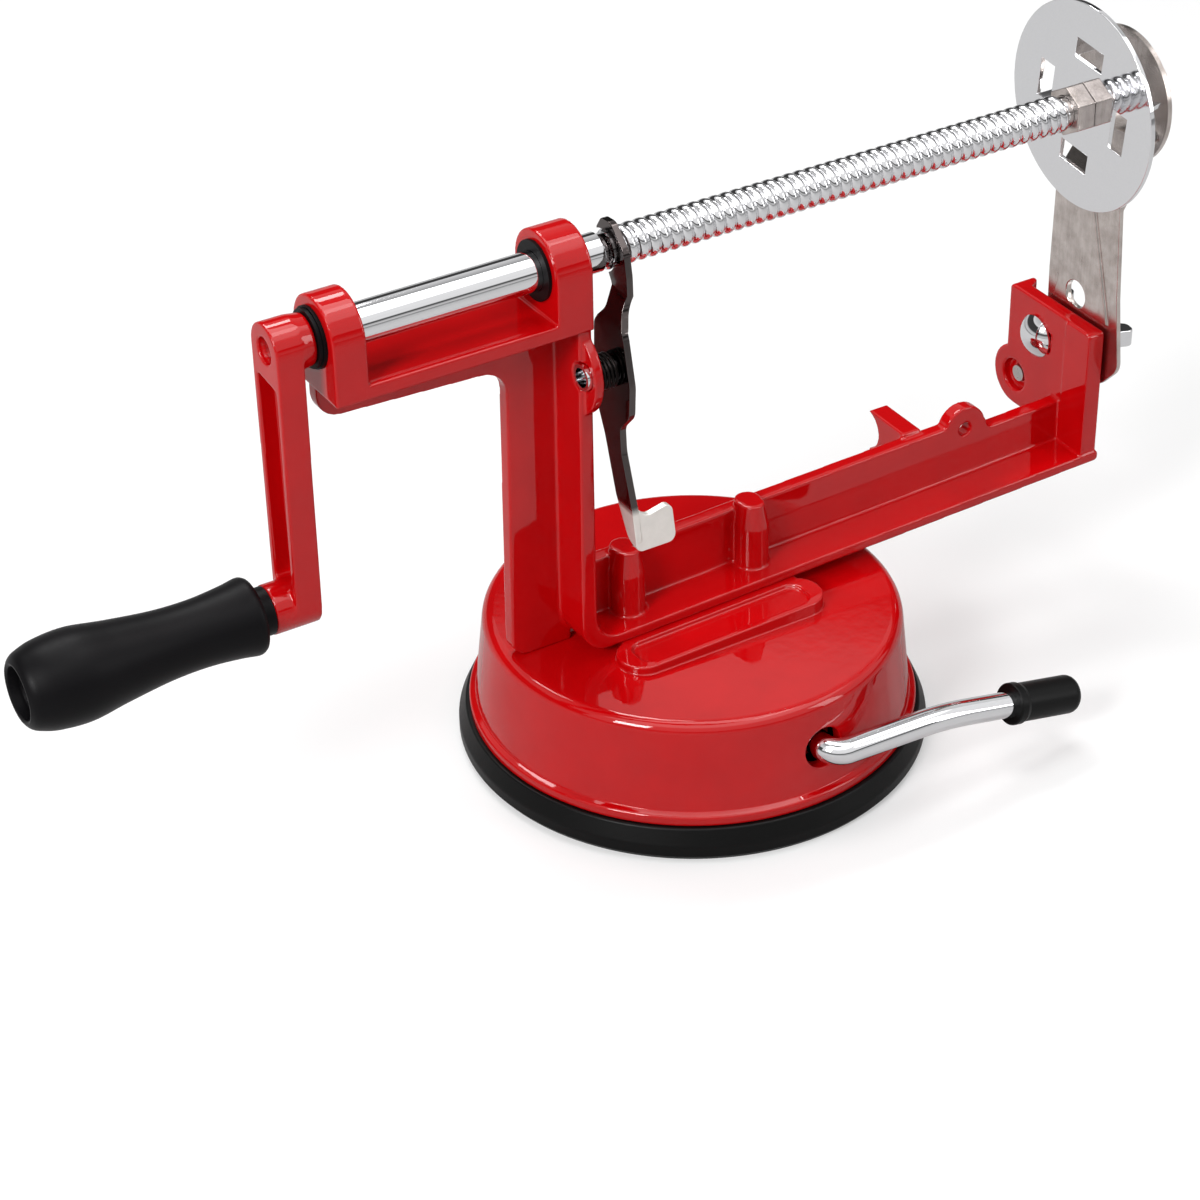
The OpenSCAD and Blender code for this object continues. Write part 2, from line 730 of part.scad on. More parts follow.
module pusher_disc() {
    turn = 6;
    tip_x = disc_x + disc_t + prong_len;
    color(steel) translate([0, 0, shaft_z]) rotate([turn, 0, 0]) {
        yz_plate(disc_x, disc_x + disc_t) difference() {
            circle(r = disc_r, $fn = 96);
            circle(r = spigot_r + fit);
            for (a = [0:90:270]) rotate(a)
                translate([slot_r, -slot_len / 2]) square([slot_w, slot_len]);
        }
        for (a = [0:90:270]) rotate([a, 0, 0])
            translate([0, 0, -slot_len / 2 - disc_t * 0.8]) linear_extrude(disc_t)
                polygon([[disc_x, slot_r], [tip_x - 4.6, slot_r], [tip_x, slot_r + slot_w - 1],
                         [tip_x - 3.4, slot_r + slot_w], [disc_x, slot_r + slot_w]]);
    }
}

// ---- Crank and handle ----

module crank_arm() {
    color(red) difference() {
        union() {
            crank_body();
            x_bar(boss_left, hub_left + channel_d, low_r, 0, handle_z);
        }
        x_bar(boss_left - 1, hub_left + crank_t - 1, spindle_r + fit, 0, handle_z);
        y_bar(-1.5, 10, crank_pin_r, (hub_left + hub_right) / 2, shaft_z);
    }
}

// Crank arm with its hub and channel, before the handle's boss
module crank_body() {
    arm_right = hub_left + crank_t;
    half = crank_r - channel_wall;
    difference() {
        union() {
            yz_plate(hub_left, arm_right) {
                translate([0, shaft_z]) circle(r = crank_r);
                translate([0, handle_z]) circle(r = low_r);
                polygon([[-low_r, handle_z], [low_r, handle_z], [crank_r, shaft_z], [-crank_r, shaft_z]]);
            }
            x_bar(arm_right, hub_right, crank_r, 0, shaft_z, crank_r - 0.5);
        }
        translate([hub_left - 1, 0, 0]) yz_plate(0, channel_d + 1) polygon(rounded([
            [-half + 0.5, handle_z + low_r - 0.5, 1], [half - 0.5, handle_z + low_r - 0.5, 1],
            [half, shaft_z - crank_r - 0.6, 1], [-half, shaft_z - crank_r - 1.6, 1]
        ]));
        x_bar(hub_left - 1, hub_right + 1, spigot_r + fit, 0, shaft_z);
    }
}

module crank_pin() {
    color(steel) y_bar(-1.4, crank_r - 0.4, crank_pin_r - fit,
                       (hub_left + hub_right) / 2, shaft_z);
}

module handle_spindle() {
    head = grip_left + grip_recess_d;
    color(steel) union() {
        x_bar(head - touch, hub_left + crank_t - 1.2, spindle_r, 0, handle_z);
        x_bar(head - 2.6, head - touch, spindle_r + 1.9, 0, handle_z);
    }
}

module handle_collar() {
    color(black) difference() {
        x_bar(collar_left, boss_left - touch, crank_r - 0.7, 0, handle_z);
        x_bar(collar_left - 1, boss_left + 1, spindle_r + fit, 0, handle_z);
    }
}

module handle_grip() {
    curve = smooth([
        [0, grip_waist_r + 0.7], [0.025, grip_waist_r + 1.2], [0.1, grip_waist_r + 0.6],
        [0.24, grip_waist_r], [0.4, grip_waist_r + 0.25], [0.59, grip_r - 1.3], [0.75, grip_r],
        [0.88, grip_r - 0.4], [0.955, grip_r - 1.5], [0.985, grip_recess_r + 2],
        [1, grip_recess_r + 0.8]
    ], 3);
    color(black) translate([grip_right, 0, handle_z]) rotate([0, -90, 0]) difference() {
        rotate_extrude() polygon(concat([[0, 0]], [for (p = curve) [p[1], p[0] * grip_len]],
                                        [[0, grip_len]]));
        translate([0, 0, -1]) cylinder(h = grip_len + 2, r = spindle_r + slack);
        translate([0, 0, grip_len - grip_recess_d]) cylinder(h = grip_recess_d + 1, r = grip_recess_r);
    }
}

// ---- Release lever ----

module lever_outline() {
    difference() {
        polygon(smooth_loop());
        translate([0, shaft_z]) circle(r = crest_r + jaw_gap);
        translate([0, shaft_z - 12]) square([12, 15.5]);
        translate([pivot_y, pivot_z]) circle(r = pin_r + slack);
    }
}

// Outline of the lever in y and z, measured from its pivot
function smooth_loop() = [for (p = rounded([
    [10.5, 28.6, 1.2], [8.6, 31.4, 1.6], [4.6, 31.8, 3], [-0.8, 26.8, 4], [-1.9, 21, 4],
    [-2.2, 14, 6], [-5.6, 10, 6], [-8.4, -2, 6], [-8, -9.6, 4], [-4, -14, 3],
    [-4.4, -20, 8], [-8.8, -33, 8], [-10.6, -42.4, 1.5], [-6.8, -41, 4],
    [-1.8, -32, 8], [2.6, -18.5, 5], [7, -9, 6], [6.4, 8.5, 3], [3.4, 12.6, 2],
    [4.6, 17.6, 4], [6.4, 20.4, 0], [10.5, 24, 0]])) lever_zero + lever_k * xy(p)];

// Side view of the bent sheet, in x and z
module lever_side() {
    z0 = pivot_z + 11;
    z1 = z0 + 6.5;
    polygon([[lever_x, 0], [lever_x, z0], [jaw_x, z1], [jaw_x, shaft_z + 20],
             [jaw_x + lever_t, shaft_z + 20], [jaw_x + lever_t, z1 - 0.5],
             [lever_x + lever_t, z0 - 0.5], [lever_x + lever_t, 0]]);
}

module release_lever() {
    tab_top = lever_zero + lever_k * [-8.7, -34];
    tab_low = lever_zero + lever_k * [-10.7, -43];
    color(steel) {
        intersection() {
            yz_plate(lever_x - 1, jaw_x + lever_t + 1) lever_outline();
            xz_plate(-40, 20) lever_side();
        }
        // jaw tooth that rides in the thread's groove
        intersection() {
            yz_plate(jaw_x + lever_t / 2 - tooth_t / 2, jaw_x + lever_t / 2 + tooth_t / 2)
                translate([0, shaft_z]) difference() {
                    circle(r = crest_r + jaw_gap + 0.6);
                    circle(r = root_r + 0.4);
                }
            translate([jaw_x, 0, shaft_z]) rotate([tooth_angle - 12, 0, 0]) cube([lever_t, 9, 2.2]);
        }
        // thumb tab, bent square from the lever's front edge
        intersection() {
            yz_plate(lever_x, lever_x + tab_len) polygon([
                tab_top, tab_low, [tab_low[0] + lever_t, tab_low[1] - 0.3],
                [tab_top[0] + lever_t, tab_top[1] - 0.3]
            ]);
            xz_plate(-40, 20) polygon(rounded([
                [lever_x, tab_top[1] + 1, 0], [lever_x, tab_low[1], 1.6],
                [lever_x + tab_len, tab_low[1], 2], [lever_x + tab_len, tab_top[1], 1.6],
                [lever_x + 3.4 * lever_k, tab_top[1] - 1.4, 2.4], [lever_x + lever_t, tab_top[1] + 1, 0]
            ]));
        }
    }
}

module lever_pin() {
    head = lever_x + lever_t + touch;
    color(steel) difference() {
        union() {
            x_bar(col_right - col_flange_t - 0.1, head + 0.5, pin_r, pivot_y, pivot_z);
            x_bar(head, head + 1, pin_r + 1.5, pivot_y, pivot_z);
        }
        x_bar(col_right - col_flange_t - 2, head + 3, pin_r - 0.8, pivot_y, pivot_z);
    }
}

module lever_spring() {
    wire = 0.35;
    coil_r = pin_r + 0.3 + wire;
    profile = [for (a = [0:60:300]) [wire * cos(a), coil_r + wire * sin(a)]];
    start = col_right + wire + touch;
    stop = lever_x - wire - touch;
    color(steel) translate([0, pivot_y, pivot_z])
        helix_x(start, stop, (stop - start) / 3.5, profile, 90, 16);
}

// ---- Blade and its clamp ----

module holder_outline() {
    b = end_top;
    difference() {
        polygon(rounded([for (p = [
            [15.3, shaft_z - 11, 0], [16, b + 7, 10], [15.4, b - 15, 4], [-5.4, b - 16.6, 6.5],
            [-12.4, b - 9, 5], [-10.2, b + 9, 12], [-8.2, shaft_z - 18, 8], [-9, shaft_z - 11, 0]
        ]) [holder_k * p[0], p[1], p[2]]]));
        translate(clamp) circle(r = bolt_r + slack);
        translate([4.6, b + 4.8]) circle(r = 3.6);
    }
}

// Side view of the holder's bent sheet, in x and z
module holder_side() {
    z0 = shaft_z - 25;
    z1 = shaft_z - 17.5;
    polygon([[blade_x, 0], [blade_x, z0], [slicer_x, z1], [slicer_x, shaft_z + 30],
             [slicer_x + blade_t, shaft_z + 30], [slicer_x + blade_t, z1 - 0.8],
             [blade_x + blade_t, z0 - 0.8], [blade_x + blade_t, 0]]);
}

module blade_holder() {
    b = end_top;
    color(steel) difference() {
        union() {
            intersection() {
                yz_plate(blade_x - 1, slicer_x + blade_t + 1) holder_outline();
                xz_plate(-40, 40) holder_side();
            }
            // pressed rib that widens towards the clamp
            yz_plate(blade_x - seat_h, blade_x + 0.5)
                polygon([[holder_k * 13, b + 1.6], [holder_k * -7.6, b + 1.6],
                         [holder_k * 0.4, shaft_z - 28], [holder_k * 5.4, shaft_z - 28]]);
        }
        x_bar(blade_x - 2, blade_x + 4, 3.6, 4.6, b + 4.8);
        x_bar(slicer_x - 8, slicer_x + 4, blade_r + fit, 0, shaft_z);
    }
}

module slicing_blade() {
    color(steel) translate([0, 0, shaft_z]) {
        yz_plate(slicer_x, slicer_x + blade_t) difference() {
            circle(r = blade_r, $fn = 96);
            circle(r = corer_r + 0.8 + fit);
            rotate(205) translate([corer_r + 2, -1.5]) square([blade_r - corer_r - 3.5, 3]);
        }
        // cutting lip raised from the slot's edge
        rotate([205, 0, 0]) translate([0, corer_r + 2, 0]) rotate([-90, 0, 0])
            linear_extrude(blade_r - corer_r - 3.5)
                polygon([[slicer_x + 0.6, 2.1], [slicer_x - 0.9, -0.6], [slicer_x - 0.7, -0.9],
                         [slicer_x + 1.3, 1.5]]);
    }
}

module coring_ring() {
    color(steel) difference() {
        x_bar(slicer_x - 0.4, slicer_x - 0.4 + corer_len, corer_r + 0.8, 0, shaft_z);
        x_bar(slicer_x - 2, slicer_x + corer_len + 2, corer_r, 0, shaft_z);
    }
}

module clamp_bolt() {
    half = slot_half - slack;
    head_x = end_x + end_step;
    tip = wing_x + 6.5;
    color(steel) {
        // domed head
        intersection() {
            translate([head_x + 3.6, clamp[0], clamp[1]]) sphere(r = 6.9);
            x_bar(head_x - 5, head_x - touch, bolt_head_r, clamp[0], clamp[1]);
        }
        translate([head_x - 0.5, clamp[0] - half, clamp[1] - half])
            cube([end_t - end_step - 0.4, 2 * half, 2 * half]);
        x_bar(head_x, tip, bolt_r, clamp[0], clamp[1]);
    }
}

module anchor_pin() {
    color(steel) x_bar(end_x + 2, end_right - touch, lobe_hole_r - fit, lobe[0], lobe[1]);
}

module clamp_washer() {
    color(steel) difference() {
        x_bar(washer_x, washer_x + washer_t, 5.4, clamp[0], clamp[1]);
        x_bar(washer_x - 1, washer_x + 3, bolt_r + slack, clamp[0], clamp[1]);
    }
}

module wing_nut() {
    color(steel) difference() {
        union() {
            x_bar(wing_x, wing_x + 5.2, 4.8, clamp[0], clamp[1], 4);
            translate([0, 0, clamp[1] - 2.2]) linear_extrude(4.4)
                for (s = [-1, 1]) polygon([for (p = rounded([
                    [0.6, 2, 0], [4.4, 11.4, 3], [12.6, 14.4, 2], [13.2, 10.4, 2], [5, 3.4, 1], [5, 2, 0]
                ])) [wing_x + wing_k * p[0], clamp[0] + s * wing_k * p[1]]]);
        }
        x_bar(wing_x - 1, wing_x + 16, bolt_r + slack, clamp[0], clamp[1]);
    }
}

base_casting();
suction_cup();
cup_plunger();
suction_lever();
lever_cam();
lever_grip();
retaining_clip();
frame_casting();
frame_screws();
left_bush();
right_bush();
thrust_washer();
feed_shaft();
feed_thread();
disc_nut();
pusher_disc();
crank_arm();
crank_pin();
handle_spindle();
handle_collar();
handle_grip();
release_lever();
lever_pin();
lever_spring();
anchor_pin();
clamp_bolt();
clamp_washer();
wing_nut();
blade_holder();
slicing_blade();
coring_ring();
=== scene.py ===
"""Visual model of a hand-cranked apple peeler corer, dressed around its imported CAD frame."""

import json
import math

import bmesh
import bpy
from mathutils import Matrix, Vector


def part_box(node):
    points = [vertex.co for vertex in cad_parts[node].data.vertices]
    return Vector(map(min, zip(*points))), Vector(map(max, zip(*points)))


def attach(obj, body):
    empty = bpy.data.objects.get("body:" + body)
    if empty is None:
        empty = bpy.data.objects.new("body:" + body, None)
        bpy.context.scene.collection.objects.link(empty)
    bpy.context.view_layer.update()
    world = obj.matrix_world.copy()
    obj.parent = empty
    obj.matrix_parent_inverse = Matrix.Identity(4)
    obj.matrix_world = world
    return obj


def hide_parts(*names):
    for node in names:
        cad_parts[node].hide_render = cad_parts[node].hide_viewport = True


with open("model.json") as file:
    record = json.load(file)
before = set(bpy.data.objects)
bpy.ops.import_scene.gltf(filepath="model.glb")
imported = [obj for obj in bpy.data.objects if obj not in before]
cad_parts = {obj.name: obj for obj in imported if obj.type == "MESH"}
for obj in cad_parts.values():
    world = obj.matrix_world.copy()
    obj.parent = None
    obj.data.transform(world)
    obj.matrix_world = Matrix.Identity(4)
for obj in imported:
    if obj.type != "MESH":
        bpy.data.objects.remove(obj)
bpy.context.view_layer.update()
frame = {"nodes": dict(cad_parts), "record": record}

bl_info = {
    "name": "Apple peeler corer",
    "version": (1, 0, 0),
    "blender": (4, 5, 0),
    "location": "3D View > Sidebar > Peeler",
    "description": "Cast, chromed and moulded pieces of a hand-cranked apple peeler corer",
    "category": "Object",
}

MM = 0.001
NODES = frame["nodes"]
BODY_OF = {
    node: body
    for body, nodes in frame["record"]["behaviour"]["bodies"].items()
    for node in nodes
}
SLOT_OF = {s["node"]: s["material_slot"] for s in frame["record"]["subparts"]}


# ---- Colours and nodes ----

def linear(hex_colour):
    """The linear RGBA of an sRGB hex colour."""
    channels = [int(hex_colour[i:i + 2], 16) / 255 for i in (1, 3, 5)]
    return (*[c / 12.92 if c <= 0.04045 else ((c + 0.055) / 1.055) ** 2.4 for c in channels], 1.0)


def tone(colour, share=1.0):
    """A setting's colour as RGBA, darker or lighter by a share."""
    return (*[c * share for c in colour], 1)


def grey(level):
    """A neutral RGBA."""
    return (level, level, level, 1)


def add(tree, kind, settings=None, **inputs):
    """Adds one node. Settings are the node's own properties.

    An input is a value or another node's output. It is called by its name, with _ for a space, or by i and
    its number.
    """
    node = tree.nodes.new(kind)
    for name, value in (settings or {}).items():
        setattr(node, name, value)
    for name, value in inputs.items():
        socket = node.inputs[int(name[1:])] if name[1:].isdigit() else node.inputs[name.replace("_", " ")]
        if isinstance(value, bpy.types.NodeSocket):
            tree.links.new(value, socket)
        else:
            socket.default_value = value
    return node


def new_material(name):
    """An empty node material, its tree, and the coordinates of the piece in metres."""
    made = bpy.data.materials.new(name)
    made.use_nodes = True
    tree = made.node_tree
    tree.nodes.clear()
    place = add(tree, "ShaderNodeTexCoord").outputs["Object"]
    return made, tree, place


def finish_material(tree, shader):
    """Links a shader to the material's output."""
    add(tree, "ShaderNodeOutputMaterial", Surface=shader.outputs["BSDF"])


def per_mm(size):
    """The noise scale at which one feature is about size mm across."""
    return 1 / (size * MM)


def blotches(tree, place, size, detail=2.0, rough=0.5):
    """Soft noise whose patches are about size mm across."""
    return add(tree, "ShaderNodeTexNoise", Vector=place, Scale=per_mm(size),
               Detail=detail, Roughness=rough).outputs["Fac"]


def span(tree, value, low, high, from_low=0.0, from_high=1.0):
    """Maps a value's range to low..high."""
    return add(tree, "ShaderNodeMapRange", Value=value, From_Min=from_low, From_Max=from_high,
               To_Min=low, To_Max=high).outputs["Result"]


def mixed(tree, share, first, second):
    """A colour between two linear colours or sockets."""
    return add(tree, "ShaderNodeMix", {"data_type": "RGBA"}, i0=share, i6=first, i7=second).outputs[2]


def bumped(tree, height, depth):
    """A normal from a height, where 1 stands depth mm proud."""
    return add(tree, "ShaderNodeBump", Height=height, Distance=depth * MM, Strength=1.0).outputs["Normal"]


def drawn_out(tree, place, scale):
    """Coordinates scaled along each axis, so that a pattern on them is drawn out where the scale is small."""
    return add(tree, "ShaderNodeMapping", Vector=place, Scale=scale).outputs[0]


# ---- Materials ----

def powder_coated_casting(colours):
    """Die-cast zinc under a thick gloss powder coat: wet-looking red with a faint orange-peel ripple."""
    made, tree, place = new_material("red_powder_coat")
    patches = blotches(tree, place, 9)
    colour = mixed(tree, patches, tone(colours.coat), tone(colours.coat_deep))
    peel = blotches(tree, place, 2.4, 1.0)
    flow = blotches(tree, place, 14, 1.0)
    height = add(tree, "ShaderNodeMath", {"operation": "MULTIPLY_ADD"},
                 i0=flow, i1=3.0, i2=peel).outputs[0]
    shader = add(tree, "ShaderNodeBsdfPrincipled", Base_Color=colour,
                 Roughness=span(tree, patches, 0.16, 0.24),
                 Normal=bumped(tree, height, 0.006))
    shader.inputs["Specular IOR Level"].default_value = 0.0
    shader.inputs["Coat Weight"].default_value = 0.85
    shader.inputs["Coat Roughness"].default_value = 0.035
    tree.links.new(shader.inputs["Normal"].links[0].from_socket, shader.inputs["Coat Normal"])
    finish_material(tree, shader)
    return made


def bright_chrome(colours):
    """Steel, polished and chrome plated: a cool mirror with hairline drawing marks along the shaft."""
    made, tree, place = new_material("bright_chrome")
    marks = blotches(tree, drawn_out(tree, place, (0.04, 1, 1)), 0.35)
    shader = add(tree, "ShaderNodeBsdfPrincipled", Metallic=1.0,
                 Base_Color=mixed(tree, marks, tone(colours.chrome), tone(colours.chrome, 0.9)),
                 Roughness=span(tree, marks, 0.02, 0.08),
                 Normal=bumped(tree, marks, 0.0004))
    finish_material(tree, shader)
    return made


def stamped_zinc_plate(colours):
    """Stamped steel strip, barrel zinc plated: light grey with a soft grain and tumbled edges."""
    made, tree, place = new_material("stamped_zinc_plate")
    grain = blotches(tree, place, 0.7, 4.0)
    cloud = blotches(tree, place, 5)
    shader = add(tree, "ShaderNodeBsdfPrincipled", Metallic=1.0,
                 Base_Color=mixed(tree, cloud, tone(colours.zinc), tone(colours.zinc, 0.72)),
                 Roughness=span(tree, grain, 0.2, 0.42),
                 Normal=bumped(tree, grain, 0.01))
    finish_material(tree, shader)
    return made


def rolled_bare_steel(colours):
    """Cold-rolled stainless strip, pickled and left bare: warm grey, mottled brown, with rolling lines."""
    made, tree, place = new_material("rolled_bare_steel")
    mottle = blotches(tree, place, 4.5, 5.0, 0.62)
    lines = blotches(tree, drawn_out(tree, place, (1, 1, 0.06)), 0.6, 3.0)
    shade = add(tree, "ShaderNodeMath", {"operation": "MULTIPLY_ADD"},
                i0=lines, i1=0.35, i2=mottle).outputs[0]
    shader = add(tree, "ShaderNodeBsdfPrincipled", Metallic=1.0,
                 Base_Color=mixed(tree, span(tree, shade, 0, 1, 0.5, 1.15),
                                  tone(colours.bare), tone(colours.bare_deep)),
                 Roughness=span(tree, mottle, 0.14, 0.34),
                 Normal=bumped(tree, shade, 0.02))
    finish_material(tree, shader)
    return made


def moulded_polypropylene(colours):
    """Injection-moulded black polypropylene: satin, nearly black, with a fine spark-eroded texture."""
    made, tree, place = new_material("moulded_polypropylene")
    grain = blotches(tree, place, 0.5)
    cloud = blotches(tree, place, 12)
    shader = add(tree, "ShaderNodeBsdfPrincipled",
                 Base_Color=mixed(tree, cloud, tone(colours.plastic), tone(colours.plastic, 0.7)),
                 Roughness=span(tree, grain, 0.36, 0.48),
                 Normal=bumped(tree, grain, 0.006))
    shader.inputs["IOR"].default_value = 1.49
    shader.inputs["Specular IOR Level"].default_value = 0.1
    finish_material(tree, shader)
    return made


def moulded_rubber(colours):
    """Compression-moulded nitrile rubber: deep black, half matt, with a soft bloom and tiny moulding pits."""
    made, tree, place = new_material("moulded_rubber")
    pits = blotches(tree, place, 0.8, 4.0, 0.6)
    bloom = blotches(tree, place, 10)
    shader = add(tree, "ShaderNodeBsdfPrincipled",
                 Base_Color=mixed(tree, bloom, tone(colours.rubber), tone(colours.rubber, 1.6)),
                 Roughness=span(tree, pits, 0.3, 0.45),
                 Normal=bumped(tree, pits, 0.02))
    shader.inputs["IOR"].default_value = 1.52
    shader.inputs["Specular IOR Level"].default_value = 0.14
    finish_material(tree, shader)
    return made


# Heights in millimetres between which the lever's tab turns into its arm, where the pale tab colour gives way
# to the arm's painted dark reflection
TAB_TOP = (75.5, 77.5)


def release_lever_plate(colours):
    """Stamped steel strip: pale and grained on the thumb tab, glossy on the arm, whose dark colour is a
    painted reflection of the dark red frame beside it.
    """
    made, tree, place = new_material("release_lever_plate")
    height = add(tree, "ShaderNodeSeparateXYZ", Vector=place).outputs["Z"]
    arm = span(tree, height, 0, 1, *(z * MM for z in TAB_TOP))
    grain = blotches(tree, place, 0.5, 3.0)
    cloud = blotches(tree, place, 3)
    pale = mixed(tree, cloud, linear("#f0ece7"), linear("#dcd8d3"))
    # Painted reflection: the arm's dark grey stands for the dark frame that the arm mirrors
    dark = mixed(tree, cloud, tone(colours.lever), tone(colours.lever, 0.8))
    rough = add(tree, "ShaderNodeMix", {"data_type": "FLOAT"}, i0=arm,
                i2=span(tree, grain, 0.45, 0.6), i3=span(tree, grain, 0.06, 0.14)).outputs[0]
    shader = add(tree, "ShaderNodeBsdfPrincipled", Metallic=1.0, Base_Color=mixed(tree, arm, pale, dark),
                 Roughness=rough, Normal=bumped(tree, grain, 0.004))
    finish_material(tree, shader)
    return made


def oiled_spring_steel(colours):
    """Spring wire, painted nearly black as painted shade so that it reads as the shadow between the column's
    ear and the lever, with a dull shine.
    """
    made, tree, place = new_material("oiled_spring_steel")
    film = blotches(tree, place, 1.5)
    shader = add(tree, "ShaderNodeBsdfPrincipled", Metallic=1.0,
                 # Painted shade: near-black colour so the spring reads as the shadow it sits in
                 Base_Color=mixed(tree, film, linear("#2a2524"), linear("#181514")),
                 Roughness=span(tree, film, 0.25, 0.4), Normal=bumped(tree, film, 0.004))
    finish_material(tree, shader)
    return made


# The record's slots, then two finishes that only pieces made here have
MATERIALS = {
    "red_paint": powder_coated_casting,
    "chromed_steel": bright_chrome,
    "zinc_plate": stamped_zinc_plate,
    "raw_steel": rolled_bare_steel,
    "black_plastic": moulded_polypropylene,
    "black_rubber": moulded_rubber,
    "lever": release_lever_plate,
    "spring": oiled_spring_steel,
}
made_materials = {}


def material(slot):
    """The material of a slot or finish, made once."""
    if slot not in made_materials:
        made_materials[slot] = MATERIALS[slot](bpy.context.scene.peeler_colours)
    return made_materials[slot]


# ---- Pieces ----

def dress(*nodes):
    """Gives CAD nodes the material of their slot."""
    for name in nodes:
        for slot in NODES[name].material_slots:
            slot.material = material(SLOT_OF[name])


def new_piece(name, mesh, node, finish=None):
    """A new mesh piece that stands for a CAD node, in its slot's finish or one of its own."""
    piece = bpy.data.objects.new(name, mesh)
    bpy.context.scene.collection.objects.link(piece)
    mesh.materials.clear()
    mesh.materials.append(material(finish or SLOT_OF[node]))
    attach(piece, BODY_OF[node])
    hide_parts(node)
    return piece


# Rounding of copied CAD nodes: points closer than WELD join, faces within FLAT degrees become one, and
# edges that turn by more than SHARP degrees are rounded
WELD = 0.02 * MM
FLAT = math.radians(0.6)
SHARP = math.radians(32)


def rounded_copy(node, name, radius, finish=None):
    """A copy of a CAD node whose sharp edges are rounded, as on a real casting or stamping."""
    mesh = NODES[node].data.copy()
    shape = bmesh.new()
    shape.from_mesh(mesh)
    bmesh.ops.remove_doubles(shape, verts=shape.verts, dist=WELD)
    bmesh.ops.dissolve_limit(shape, angle_limit=FLAT, verts=shape.verts, edges=shape.edges)
    sharp = [e for e in shape.edges if len(e.link_faces) == 2 and e.calc_face_angle() > SHARP]
    bmesh.ops.bevel(shape, geom=sharp, offset=radius, offset_type="OFFSET", segments=3,
                    profile=0.5, affect="EDGES", clamp_overlap=False)
    for face in shape.faces:
        face.smooth = True
    shape.to_mesh(mesh)
    shape.free()
    piece = new_piece(name, mesh, node, finish)
    piece.modifiers.new("even shading", "WEIGHTED_NORMAL").keep_sharp = False
    return piece


def cast_copy(node, name, grain, rounds):
    """A copy of a casting with soft edges and fillets: a fine even skin, relaxed a few times."""
    mesh = NODES[node].data.copy()
    piece = new_piece(name, mesh, node)
    skin = piece.modifiers.new("even skin", "REMESH")
    skin.mode = "VOXEL"
    skin.voxel_size = grain
    skin.use_smooth_shade = True
    relax = piece.modifiers.new("soft edges", "SMOOTH")
    relax.factor = 0.5
    relax.iterations = rounds


# Edges of new pieces that turn by more than this stay crisp
CREASE = math.radians(40)


def mesh_piece(name, node, points, faces, finish=None):
    """A smooth mesh piece from points in millimetres."""
    mesh = bpy.data.meshes.new(name)
    mesh.from_pydata([[c * MM for c in p] for p in points], [], faces)
    mesh.update()
    shape = bmesh.new()
    shape.from_mesh(mesh)
    bmesh.ops.recalc_face_normals(shape, faces=shape.faces)
    for face in shape.faces:
        face.smooth = True
    for edge in shape.edges:
        edge.smooth = len(edge.link_faces) == 2 and edge.calc_face_angle() < CREASE
    shape.to_mesh(mesh)
    shape.free()
    return new_piece(name, mesh, node, finish)


def ring_faces(rows, count, closed):
    """Faces between rows of points; closed joins the last row to the first, or ends get one face each."""
    faces = []
    for i in range(rows if closed else rows - 1):
        here, there = i * count, (i + 1) % rows * count
        faces += [(here + j, here + (j + 1) % count, there + (j + 1) % count, there + j)
                  for j in range(count)]
    if not closed:
        faces += [tuple(range(count - 1, -1, -1)), tuple(range((rows - 1) * count, rows * count))]
    return faces


def circle(count):
    """The cosine and sine of evenly spaced angles."""
    turns = (2 * math.pi * j / count for j in range(count))
    return [(math.cos(a), math.sin(a)) for a in turns]


def swept_tube(name, node, path, radii, count=48):
    """A round bar along a path in millimetres, with a radius for each point."""
    points = []
    side = Vector((0, 0, 1))
    for i, place in enumerate(path):
        ahead = (path[min(i + 1, len(path) - 1)] - path[max(i - 1, 0)]).normalized()
        side = (side - ahead * side.dot(ahead)).normalized()
        other = ahead.cross(side)
        points += [place + radii[i] * (side * c + other * s) for c, s in circle(count)]
    return mesh_piece(name, node, points, ring_faces(len(path), count, False))


def wound(name, node, centre, start, stop, lead, first_angle, profile, per_turn, finish=None):
    """A profile of [along, radius] points swept along a screw line about an axis along x."""
    steps = math.ceil((stop - start) / lead * per_turn)
    points = []
    for i in range(steps + 1):
        x = start + (stop - start) * i / steps
        angle = math.radians(first_angle + 360 * (x - start) / lead)
        points += [(x + along, centre[0] + r * math.cos(angle), centre[1] + r * math.sin(angle))
                   for along, r in profile]
    return mesh_piece(name, node, points, ring_faces(steps + 1, len(profile), False), finish)


def turned(name, node, centre, profile, count=128):
    """A closed profile of [x, radius] points turned about an axis along x."""
    points = []
    for x, r in profile:
        points += [(x, centre[0] + r * c, centre[1] + r * s) for c, s in circle(count)]
    return mesh_piece(name, node, points, ring_faces(len(profile), count, True))


def smooth_line(points, steps):
    """A smooth curve through points of any dimension, with steps between neighbours."""
    line = []
    for i in range(len(points) - 1):
        a, b, c, d = (points[max(0, min(len(points) - 1, k))] for k in (i - 1, i, i + 1, i + 2))
        for j in range(steps):
            t = j / steps
            line.append([0.5 * (2 * q + (r - p) * t + (2 * p - 5 * q + 4 * r - s) * t * t
                                + (3 * q - p - 3 * r + s) * t ** 3)
                         for p, q, r, s in zip(a, b, c, d)])
    return [*line, list(points[-1])]


def box_mm(node):
    """A node's lowest and highest corners in millimetres."""
    low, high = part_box(node)
    return low / MM, high / MM


def axis_in(low, high):
    """The y and z of the middle of a box: the axis of a round piece that lies along x."""
    return (low.y + high.y) / 2, (low.z + high.z) / 2


# Radius that leaves the middle of a turned end closed to the eye
PINHOLE = 0.02
# Radii of the feed bar in the bushes, under the thread, through hub and disc, and at its peened end
SHAFT_R, ROOT_R, SPIGOT_R, PEEN_R = 4.5, 3.75, 3.0, 4.4


